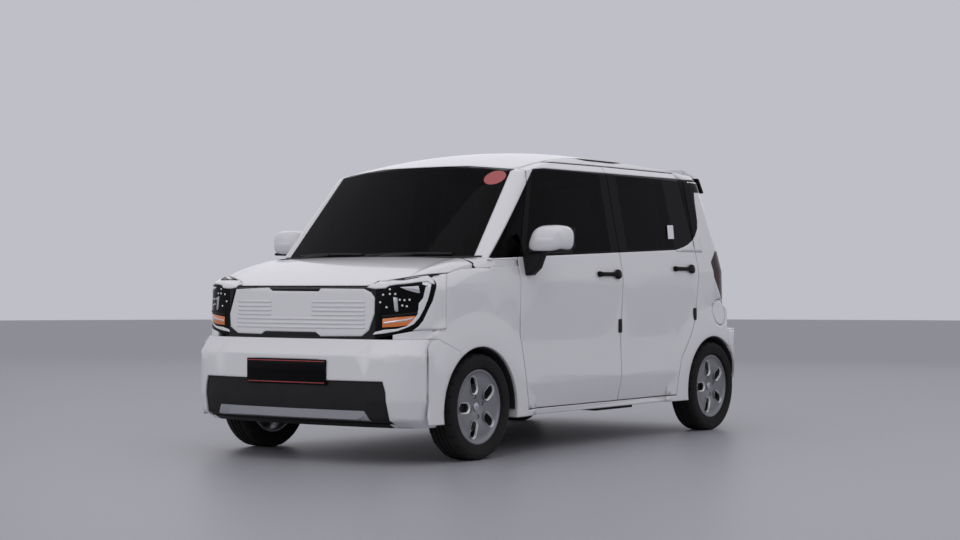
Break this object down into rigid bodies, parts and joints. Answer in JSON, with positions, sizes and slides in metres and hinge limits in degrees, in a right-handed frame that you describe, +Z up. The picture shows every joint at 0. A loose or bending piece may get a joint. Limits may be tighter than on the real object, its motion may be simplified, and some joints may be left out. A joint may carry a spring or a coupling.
{
  "type": "boxy city car",
  "caption": "White five-door boxy city car with opening doors, bonnet, tailgate and fuel flap, steering front wheels and four rolling wheels.",
  "frame": {"origin": "on the ground under the middle of the car", "axes": "+Z up, front of the car towards -Y, +X the car's left side"},
  "size_m": [2.0744, 3.5923, 1.7018],
  "materials": {
    "body_paint": "gloss",
    "dark_trim": "matte",
    "gloss_black": "gloss",
    "glass": "polished",
    "lamp_red": "gloss",
    "bright_trim": "satin",
    "alloy": "satin",
    "tyre_rubber": "matte",
    "seat_fabric": "matte",
    "chassis_paint": "satin",
    "cast_metal": "rough",
    "steel": "brushed"
  },
  "bodies": {
    "root": {"roof_panel": "body_paint", "side_frame_left": "body_paint", "side_frame_right": "body_paint", "front_fenders": "body_paint", "cowl_panel": "dark_trim", "windscreen": "glass", "quarter_glass": "glass", "headlamps": "gloss_black", "rear_lamps": "lamp_red", "grille_frame": "dark_trim", "grille_panel": "body_paint", "front_bumper": "body_paint", "bumper_insert": "dark_trim", "skid_bar": "bright_trim", "rear_bumper": "body_paint", "floor_pan": "chassis_paint", "arch_liners": "dark_trim", "dashboard": "dark_trim", "steering_wheel": "dark_trim", "front_seat_left": "seat_fabric", "front_seat_right": "seat_fabric", "rear_seat": "seat_fabric", "seat_bases": "chassis_paint", "engine_block": "cast_metal", "front_subframe": "chassis_paint", "rear_axle": "chassis_paint", "exhaust": "steel", "fuel_tank": "chassis_paint", "rubber_stops": "dark_trim"},
    "bonnet": {"bonnet_panel": "body_paint"},
    "tailgate": {"tailgate_panel": "body_paint", "rear_screen": "glass", "rear_spoiler": "dark_trim"},
    "fuel_flap": {"fuel_flap": "body_paint"},
    "front_door_left": {"front_door_left": "body_paint", "front_door_trim_left": "gloss_black", "front_door_glass_left": "glass", "mirror_left": "body_paint"},
    "rear_door_left": {"rear_door_left": "body_paint", "rear_door_trim_left": "gloss_black", "rear_door_glass_left": "glass"},
    "knuckle_left": {"knuckle_left": "cast_metal"},
    "wheel_front_left": {"tyre_front_left": "tyre_rubber", "rim_front_left": "alloy"},
    "wheel_rear_left": {"tyre_rear_left": "tyre_rubber", "rim_rear_left": "alloy"},
    "front_door_right": {"front_door_right": "body_paint", "front_door_trim_right": "gloss_black", "front_door_glass_right": "glass", "mirror_right": "body_paint"},
    "rear_door_right": {"rear_door_right": "body_paint", "rear_door_trim_right": "gloss_black", "rear_door_glass_right": "glass"},
    "knuckle_right": {"knuckle_right": "cast_metal"},
    "wheel_front_right": {"tyre_front_right": "tyre_rubber", "rim_front_right": "alloy"},
    "wheel_rear_right": {"tyre_rear_right": "tyre_rubber", "rim_rear_right": "alloy"}
  },
  "joints": [
    {"name": "front_door_left_hinge", "type": "hinge", "parent": "root", "child": "front_door_left", "pos_m": [0.8, -0.773, 0.6], "axis": [0, 0, -1], "range_deg": [0, 66]},
    {"name": "rear_door_left_hinge", "type": "hinge", "parent": "root", "child": "rear_door_left", "pos_m": [0.8, 0.286, 0.6], "axis": [0, 0, -1], "range_deg": [0, 66]},
    {"name": "front_door_right_hinge", "type": "hinge", "parent": "root", "child": "front_door_right", "pos_m": [-0.8, -0.773, 0.6], "axis": [0, 0, 1], "range_deg": [0, 66]},
    {"name": "rear_door_right_hinge", "type": "hinge", "parent": "root", "child": "rear_door_right", "pos_m": [-0.8, 0.286, 0.6], "axis": [0, 0, 1], "range_deg": [0, 66]},
    {"name": "tailgate_hinge", "type": "hinge", "parent": "root", "child": "tailgate", "pos_m": [0, 1.397, 1.656], "axis": [1, 0, 0], "range_deg": [0, 80]},
    {"name": "bonnet_hinge", "type": "hinge", "parent": "root", "child": "bonnet", "pos_m": [0, -1.147, 1.068], "axis": [-1, 0, 0], "range_deg": [0, 55]},
    {"name": "fuel_flap_hinge", "type": "hinge", "parent": "root", "child": "fuel_flap", "pos_m": [0.795, 1.379, 0.74], "axis": [0, 0, -1], "range_deg": [0, 90]},
    {"name": "steer_left", "type": "hinge", "parent": "root", "child": "knuckle_left", "pos_m": [0.59, -1.16, 0.78], "axis": [-0.1704, 0, 0.9854], "range_deg": [-35, 35]},
    {"name": "steer_right", "type": "hinge", "parent": "root", "child": "knuckle_right", "pos_m": [-0.59, -1.16, 0.78], "axis": [0.1704, 0, 0.9854], "range_deg": [-35, 35]},
    {"name": "wheel_front_left_spin", "type": "hinge", "parent": "knuckle_left", "child": "wheel_front_left", "pos_m": [0.712, -1.16, 0.277], "axis": [1, 0, 0], "continuous": true},
    {"name": "wheel_front_right_spin", "type": "hinge", "parent": "knuckle_right", "child": "wheel_front_right", "pos_m": [-0.712, -1.16, 0.277], "axis": [1, 0, 0], "continuous": true},
    {"name": "wheel_rear_left_spin", "type": "hinge", "parent": "root", "child": "wheel_rear_left", "pos_m": [0.712, 1.36, 0.277], "axis": [1, 0, 0], "continuous": true},
    {"name": "wheel_rear_right_spin", "type": "hinge", "parent": "root", "child": "wheel_rear_right", "pos_m": [-0.712, 1.36, 0.277], "axis": [1, 0, 0], "continuous": true}
  ],
  "couplings": [
    {"joint": "steer_right", "follows": "steer_left", "ratio": 1}
  ]
}
